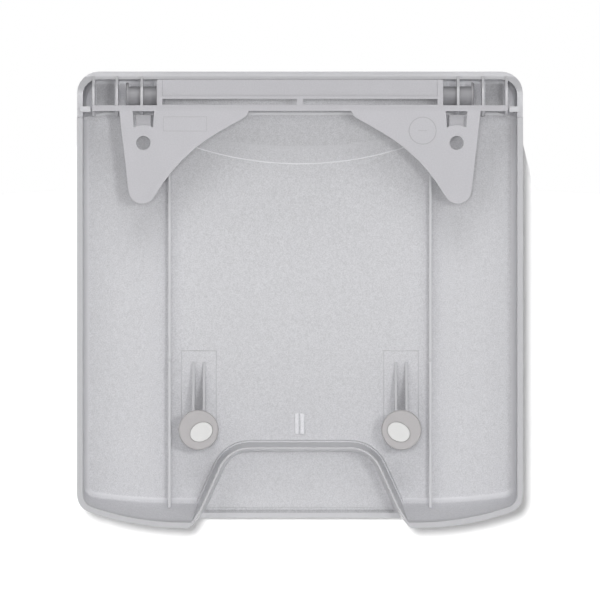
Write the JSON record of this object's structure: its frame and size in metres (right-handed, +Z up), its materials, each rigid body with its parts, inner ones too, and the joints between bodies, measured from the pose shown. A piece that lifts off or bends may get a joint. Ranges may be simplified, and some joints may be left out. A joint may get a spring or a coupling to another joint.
{
  "type": "outdoor socket cover",
  "caption": "Hinged splash-proof lid for an outdoor wall socket, on a bracket that fixes to the wall box, with soft closing buffers and a finger recess.",
  "frame": {"origin": "middle of the hinge bracket's strip, on the bracket's back face, which rests on the socket's frame on the wall", "axes": "+Z up as the cover hangs closed on the wall, +Y out of the bracket's back face into the wall, the user stands at -Y, +X is the user's right"},
  "size_m": [0.086, 0.0138, 0.088],
  "materials": {
    "lid_plastic": "fine sandy texture inside, satin outside",
    "bracket_plastic": "satin",
    "buffer_rubber": "matt",
    "plug_plastic": "smooth"
  },
  "bodies": {
    "bracket": {"hinge_bracket": "bracket_plastic", "hinge_pin_left": "bracket_plastic", "hinge_pin_right": "bracket_plastic"},
    "lid": {"lid": "lid_plastic", "buffer_left": "buffer_rubber", "buffer_right": "buffer_rubber", "buffer_plug_left": "plug_plastic", "buffer_plug_right": "plug_plastic"}
  },
  "joints": [
    {"name": "lid_hinge", "type": "hinge", "parent": "bracket", "child": "lid", "pos_m": [0, -0.0068, 0.00244], "axis": [-1, 0, 0], "range_deg": [0, 100]}
  ]
}
